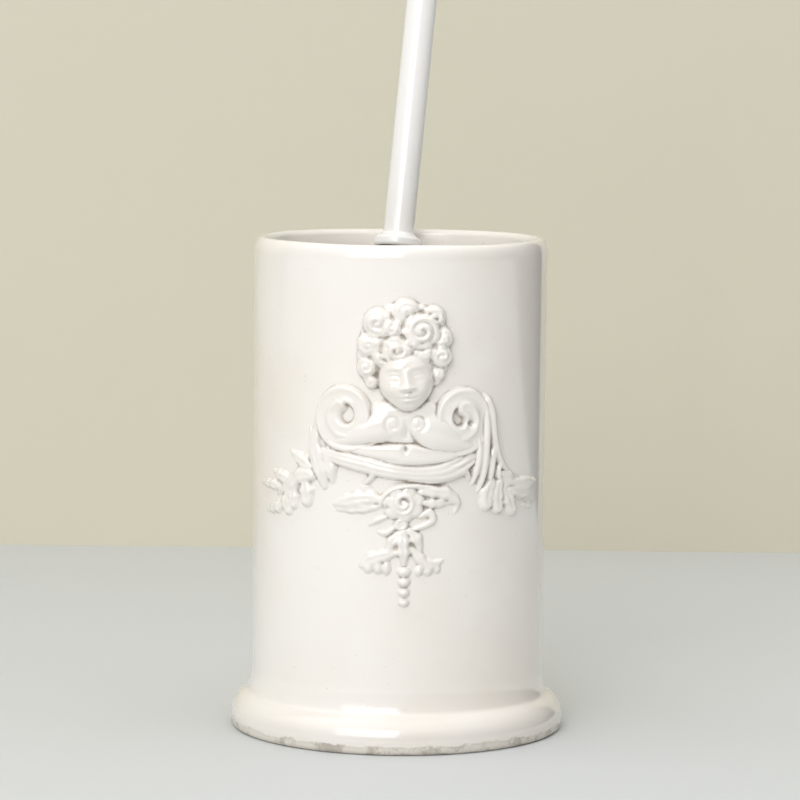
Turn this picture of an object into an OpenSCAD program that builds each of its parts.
// Toilet brush holder: a relief-ornamented ceramic pot with a brush standing loose inside it.
// Origin on the table under the pot's axis. +Z up, the ornament faces -Y, +X to its right.

/* [Pot] */
// Height of the pot, table to lip
pot_h = 200; // [190:1:230]
// Outer radius of the cylinder
body_r = 59.4; // [59:0.1:62]
// Thickness of the ceramic wall
wall_t = 5.5; // [4.5:0.1:5.5]
// Height of the inner floor above the table
floor_z = 9; // [6:0.5:12]
// Greatest radius of the flared foot
foot_r = 67.9; // [66:0.1:72]
// Height of the foot's moulding, up to its crease
foot_h = 15; // [12:0.5:15]

/* [Brush] */
// Lean of the brush to the right
lean_right = 5.2; // [4:0.1:5.2]
// Lean of the brush to the back
lean_back = 11.5; // [11.5:0.1:12]
// Sideways place of the collar's centre
collar_x = -1.5; // [-3:0.5:1]
// Distance of the collar's centre behind the pot's axis
collar_y = 41.2; // [40:0.1:41.2]
// Height of the collar's centre
collar_z = 195; // [192:0.5:198]
// Radius of the bristle head
head_r = 32.5; // [28:0.5:32.5]
// Length of the bristle head
head_l = 80; // [70:1:80]
// Rows of tufts above the tip's crown
tuft_rows = 6; // [6:1:6]

/* [Handle] */
// Outer diameter of the handle tube
tube_d = 12.7; // [12:0.1:13]
// Wall thickness of the handle tube
tube_t = 1; // [0.8:0.1:1.2]
// Length of the handle tube
tube_l = 190; // [150:1:220]
// Radius of the collar's flange
collar_r = 10; // [9.5:0.1:10.2]
// Thickness of the collar's flange
collar_t = 5; // [4:0.5:5]
// Radius of the coarse-threaded stud
stud_r = 5; // [4:0.5:5]
// Length of stud that screws into the stem
stud_l = 14; // [10:1:16]

/* [Ornament] */
// Centre of the left volute, along the wall
volute_left_u = -21.5; // [-23:0.5:-21.5]
// Centre of the right volute, along the wall
volute_right_u = 26; // [26:0.5:28]
// Height of the volutes' centres
volute_z = 132.5; // [131:0.5:134]
// Radius of a volute's outer turn
volute_r = 11; // [9:0.5:11]
// Sideways place of the ornament's middle line
middle_u = 2; // [1:0.5:3]

/* [Hidden] */

GLAZE = [0.95, 0.94, 0.92];
RELIEF = [0.88, 0.86, 0.83];
PLASTIC = [0.93, 0.93, 0.92];
BRISTLE = [0.97, 0.97, 0.97];
RUBBER = [0.25, 0.25, 0.26];
STEEL = [0.7, 0.71, 0.73];
COATING = [0.96, 0.96, 0.96];

inner_r = body_r - wall_t;
lip_r = wall_t / 2;
foot_arc_r = 11;
foot_edge_r = 2.2;
deg_per_mm = 180 / (PI * body_r);

tip_z = floor_z + 1.25;
drop = collar_z - tip_z;
tip = [collar_x - drop * tan(lean_right), collar_y - drop * tan(lean_back), tip_z];
collar_s = drop * sqrt(1 + pow(tan(lean_right), 2) + pow(tan(lean_back), 2));
dome_l = 28;
shoulder_l = 16;
core_r = 9;
core_start = 14;
row_gap = 1.2;
row_l = (head_l - core_start - tuft_rows * row_gap) / tuft_rows;
washer_t = 1.5;
seat_gap = 0.05;
fit_gap = 0.05;
washer_s = collar_s - collar_t / 2 - seat_gap - washer_t;
stem_top = washer_s - seat_gap;
stem_r = 7.5;
tube_s = collar_s - 1;
cap_s = tube_s + tube_l;

// ---- helpers -------------------------------------------------------------------------------

// Points of a circular arc in the profile plane.
function arc(c, r, a0, a1, n) =
    [for (i = [0:n]) c + r * [cos(a0 + (a1 - a0) * i / n), sin(a0 + (a1 - a0) * i / n)]];

// A place on the pot's wall: u along the circumference, z up, h out from the surface.
function on_wall(u, z, h) =
    [(body_r + h) * sin(u * deg_per_mm), -(body_r + h) * cos(u * deg_per_mm), z];

// Radius of the bristle head at the distance s from its tip.
function head_at(s) =
    s < dome_l ? head_r * sqrt(1 - pow((dome_l - s) / dome_l, 2))
    : s < head_l - shoulder_l ? head_r
    : core_r + (head_r - core_r) * sqrt(max(0, 1 - pow((s - head_l + shoulder_l) / shoulder_l, 2)));

// Puts its children on the brush's own axis, z = 0 at the tip of the bristles.
module on_brush_axis() {
    translate(tip)
        rotate([-atan(tan(lean_back) * cos(lean_right)), lean_right, 0])
            children();
}

// One lump of clay, a point being [u, z, radius, sink below the surface].
module lump(p) {
    translate(on_wall(p[0], p[1], -p[3]))
        sphere(r = p[2], $fn = 8);
}

// A strand of clay that runs through the given points.
module strand(points) {
    for (i = [0:len(points) - 2])
        hull() {
            lump(points[i]);
            lump(points[i + 1]);
        }
}

// Cuts an ornament to the curve of the wall that it is luted to.
module luted() {
    color(RELIEF)
        difference() {
            union() children();
            cylinder(r = body_r / cos(1), h = pot_h, $fn = 180);
        }
}

// A scroll that winds inwards, dir +1 anticlockwise.
module scroll(u, z, r_out, r_in, turns, start, dir, thick) {
    steps = round(turns * 12);
    strand([for (i = [0:steps])
        let (k = i / steps, a = start + dir * 360 * turns * k, r = r_out + (r_in - r_out) * k)
        [u + r * cos(a), z + r * sin(a), thick * (1 - 0.25 * k), -0.35 * thick]]);
    lump([u, z, thick * 1.15, -0.6]);
}

// ---- holder --------------------------------------------------------------------------------

module pot() {
    crease = arc([foot_r - foot_arc_r, 4.8], foot_arc_r, 0, 68.7, 14);
    crease_r = crease[14][0];
    cavetto_r = 34;
    cavetto_a = asin(sqrt(pow(cavetto_r, 2) - pow(cavetto_r - crease_r + body_r, 2)) / cavetto_r);
    color(GLAZE)
        rotate_extrude($fn = 144)
            polygon(concat(
                [[0, 0]],
                arc([foot_r - foot_edge_r - 0.2, foot_edge_r], foot_edge_r, -90, 0, 5),
                crease,
                arc([body_r + cavetto_r, foot_h + 11], cavetto_r, 180 + cavetto_a, 180, 6),
                arc([body_r - lip_r, pot_h - lip_r], lip_r, 0, 180, 12),
                arc([inner_r - 8, floor_z + 8], 8, 0, -90, 6),
                [[0, floor_z]]));
}

module cherub_head() {
    u = middle_u;
    luted() {
        hull() {
            lump([u, 153, 12, 1.5]);
            lump([u, 142, 8.4, 0]);
            lump([u, 138.5, 4, -2.5]);
        }
        hull() {
            lump([u, 150, 2, -7.5]);
            lump([u, 146, 1.8, -9.7]);
        }
        lump([u, 140.5, 1.9, -7.2]);
        hull() {
            lump([u, 166, 14, 6]);
            lump([u, 158, 13.5, 5]);
        }
        for (a = [-35:25:215])
            lump([u + 14.5 * cos(a), 161 + 12 * sin(a), 4.2, -1.8]);
        for (a = [15:30:165])
            lump([u + 9 * cos(a), 158.5 + 9 * sin(a), 4, -5.2]);
    }
}

module volute_left() {
    luted() scroll(volute_left_u, volute_z, volute_r, 4.4, 1.6, 60, 1, 2.9);
}

module volute_right() {
    luted() scroll(volute_right_u, volute_z, volute_r, 4.4, 1.6, 120, -1, 2.9);
}

module chin_scrolls() {
    luted() {
        for (side = [-1, 1]) {
            lump([middle_u + 0.5 + side * 4.4, 129.3, 3.6, 0]);
            strand([[middle_u + side * 4.4, 126, 2, 0], [middle_u + side * 7.6, 122.6, 2.2, 0],
                    [middle_u + side * 12, 119.8, 2, 0.2], [middle_u + side * 16, 117.8, 1.4, 0]]);
        }
    }
}

module drapery_panel() {
    luted()
        strand([for (k = [-1:0.4:1])
            [middle_u + 11.5 * k, 116.6 - 2.2 * k * k, 2.2 - 0.7 * k * k, 0.3]]);
}

module swag() {
    luted()
        strand([for (k = [-1:0.25:1])
            [middle_u + 26.5 * k, 108.4 + 2.4 * k * k, 2.8 - 0.4 * k * k, 0.4]]);
}

module acanthus_left() {
    luted()
        for (rib = [-1, 0, 1])
            strand([[-33 + 2.2 * rib, 116.5 - abs(rib), 2, 0], [-32.7 + 2.4 * rib, 111, 2.1, -0.6],
                    [-31.2 + 1.2 * rib, 107.5 + abs(rib), 1.7, -0.4], [-30, 104.4, 1.1, 0]]);
}

module acanthus_right() {
    luted()
        for (rib = [-1, 0, 1])
            strand([[43 + rib, 137, 1.5, 0], [43.4 + 1.4 * rib, 129, 1.7, -0.5],
                    [42 + 2 * rib, 121, 1.9, -0.8], [38.2 + 2 * rib, 112, 1.9, -0.6],
                    [34.5 + rib, 105.6, 1.4, -0.2], [33, 103, 1, 0]]);
}

module spray_left() {
    leaves = [[-42, 113, -49, 118], [-42.5, 109, -55, 106], [-42, 105.5, -57, 98.5],
              [-41, 102, -50, 93], [-56, 103, -67, 104]];
    luted()
        for (l = leaves)
            strand([[l[0], l[1], 1.6, 0.2], [(l[0] + l[2]) / 2, (l[1] + l[3]) / 2 + 0.6, 2.7, 0.3],
                    [l[2], l[3], 1.2, 0]]);
}

module spray_right() {
    leaves = [[41.5, 103.5, 40, 95], [45.5, 105, 46.5, 94.5], [49, 106, 54, 96],
              [50, 108.5, 61, 106], [60, 106, 70, 103.5], [52, 104.5, 66, 98.5]];
    luted()
        for (l = leaves)
            strand([[l[0], l[1], 1.6, 0.2], [(l[0] + l[2]) / 2, (l[1] + l[3]) / 2, 2.4, 0.3],
                    [l[2], l[3], 1.3, 0]]);
}

module rosette() {
    luted() {
        for (a = [0:60:300])
            lump([middle_u + 4.4 * cos(a), 98.2 + 4.4 * sin(a), 2.7, -0.3]);
        lump([middle_u, 98.2, 2.9, -1.2]);
    }
}

module rosette_leaves() {
    luted() {
        strand([[-8.5, 98, 1.8, 0], [-15, 99.3, 2.8, 0], [-21.5, 98.4, 2.2, 0], [-26, 96.8, 1, 0]]);
        strand([[12.6, 99, 1.8, 0], [18, 99, 2.7, 0], [24.5, 96, 1.2, 0]]);
        strand([[14.5, 94, 1.4, 0], [10.6, 91.2, 1.3, 0]]);
        strand([[-7, 92.5, 1.3, 0], [-10.5, 90, 1.3, 0]]);
    }
}

module pendant_husk() {
    luted() {
        lump([middle_u, 88.9, 1.7, -0.6]);
        strand([[middle_u, 86.5, 3.4, 0.4], [middle_u, 82.3, 5.4, 2], [middle_u, 77.4, 3.2, 0.4]]);
        for (side = [-1, 1])
            strand([[middle_u + side * 4, 78, 2.1, 0], [middle_u + side * 9.5, 76, 2.6, 0.3],
                    [middle_u + side * 15, 71.5, 1.2, 0]]);
    }
}

module pendant_beads() {
    luted()
        for (b = [[70.6, 2.7], [66.3, 2.3], [62.6, 2.1], [59, 1.7]])
            lump([middle_u + 0.5, b[0], b[1], 0]);
}

// ---- brush ---------------------------------------------------------------------------------

module brush_core() {
    color(PLASTIC)
        on_brush_axis()
            difference() {
                rotate_extrude($fn = 72)
                    polygon(concat(
                        [[0, core_start + 0.1]],
                        arc([core_r - 2, core_start + 2.1], 2, -90, 0, 4),
                        [[core_r, head_l], [core_r + 4, head_l + 1], [core_r + 4, head_l + 3],
                         [core_r, head_l + 7], [stem_r, head_l + 20], [stem_r, stem_top - 12],
                         [stem_r + 1.2, stem_top - 6]],
                        arc([stem_r + 0.4, stem_top - 0.8], 0.8, 0, 90, 4),
                        [[0, stem_top]]));
                translate([0, 0, stem_top - stud_l - 2])
                    cylinder(r = stud_r + fit_gap, h = stud_l + 4, $fn = 64);
            }
}

// One row of tufts, numbered from the tip.
module bristle_row(i) {
    s0 = core_start + (i - 1) * (row_l + row_gap) + row_gap;
    color(BRISTLE)
        on_brush_axis()
            rotate_extrude($fn = 72)
                polygon(concat(
                    [[core_r, s0 + row_l * 0.75], [core_r, s0 + row_l * 0.25]],
                    [for (k = [0:0.25:1]) [head_at(s0 + row_l * k), s0 + row_l * k]]));
}

module bristle_row_1() { bristle_row(1); }
module bristle_row_2() { bristle_row(2); }
module bristle_row_3() { bristle_row(3); }
module bristle_row_4() { bristle_row(4); }
module bristle_row_5() { bristle_row(5); }
module bristle_row_6() { bristle_row(6); }

module bristle_tip() {
    color(BRISTLE)
        on_brush_axis()
            rotate_extrude($fn = 72)
                polygon(concat(
                    [for (k = [0:0.1:1]) [head_at(core_start * k * k), core_start * k * k]],
                    [[0, core_start]]));
}

module sealing_washer() {
    color(RUBBER)
        on_brush_axis()
            translate([0, 0, washer_s])
                difference() {
                    cylinder(r = collar_r - 1.2, h = washer_t, $fn = 64);
                    translate([0, 0, -1])
                        cylinder(r = stud_r + fit_gap, h = washer_t + 2, $fn = 64);
                }
}

// ---- handle --------------------------------------------------------------------------------

module collar() {
    half = collar_t / 2;
    edge = 1.3;
    color(COATING)
        on_brush_axis()
            translate([0, 0, collar_s])
                rotate_extrude($fn = 96)
                    polygon(concat(
                        [[stud_r, -half]],
                        arc([collar_r - edge, -half + edge], edge, -90, 0, 4),
                        arc([collar_r - edge - 0.3, half - 0.9 - edge], edge + 0.3, 0, 60, 4),
                        [[tube_d / 2 + 0.9, half], [tube_d / 2, half + 0.6],
                         [tube_d / 2, -1], [stud_r, -1]]));
}

module thread_stud() {
    bore_r = tube_d / 2 - tube_t;
    color(STEEL)
        on_brush_axis()
            translate([0, 0, stem_top - stud_l])
                rotate_extrude($fn = 64)
                    polygon([[0, 0], [stud_r - 0.8, 0], [stud_r, 0.8],
                             [stud_r, tube_s - stem_top + stud_l], [bore_r, tube_s - stem_top + stud_l],
                             [bore_r, tube_s - stem_top + stud_l + 15], [0, tube_s - stem_top + stud_l + 15]]);
}

module handle_tube() {
    color(COATING)
        on_brush_axis()
            translate([0, 0, tube_s])
                difference() {
                    cylinder(d = tube_d, h = tube_l, $fn = 72);
                    translate([0, 0, -1])
                        cylinder(r = tube_d / 2 - tube_t, h = tube_l + 2, $fn = 72);
                }
}

module handle_cap() {
    bore_r = tube_d / 2 - tube_t;
    cap_r = tube_d / 2 + 0.5;
    color(COATING)
        on_brush_axis()
            translate([0, 0, cap_s])
                rotate_extrude($fn = 72)
                    polygon(concat(
                        [[0, -12], [bore_r - 0.6, -12], [bore_r, -11], [bore_r, 0], [cap_r, 0]],
                        [for (a = [0:10:90]) [cap_r * cos(a), 1.6 + 4.4 * sin(a)]]));
}

pot();
cherub_head();
volute_left();
volute_right();
chin_scrolls();
drapery_panel();
swag();
acanthus_left();
acanthus_right();
spray_left();
spray_right();
rosette();
rosette_leaves();
pendant_husk();
pendant_beads();
brush_core();
bristle_row_1();
bristle_row_2();
bristle_row_3();
bristle_row_4();
bristle_row_5();
bristle_row_6();
bristle_tip();
sealing_washer();
collar();
thread_stud();
handle_tube();
handle_cap();
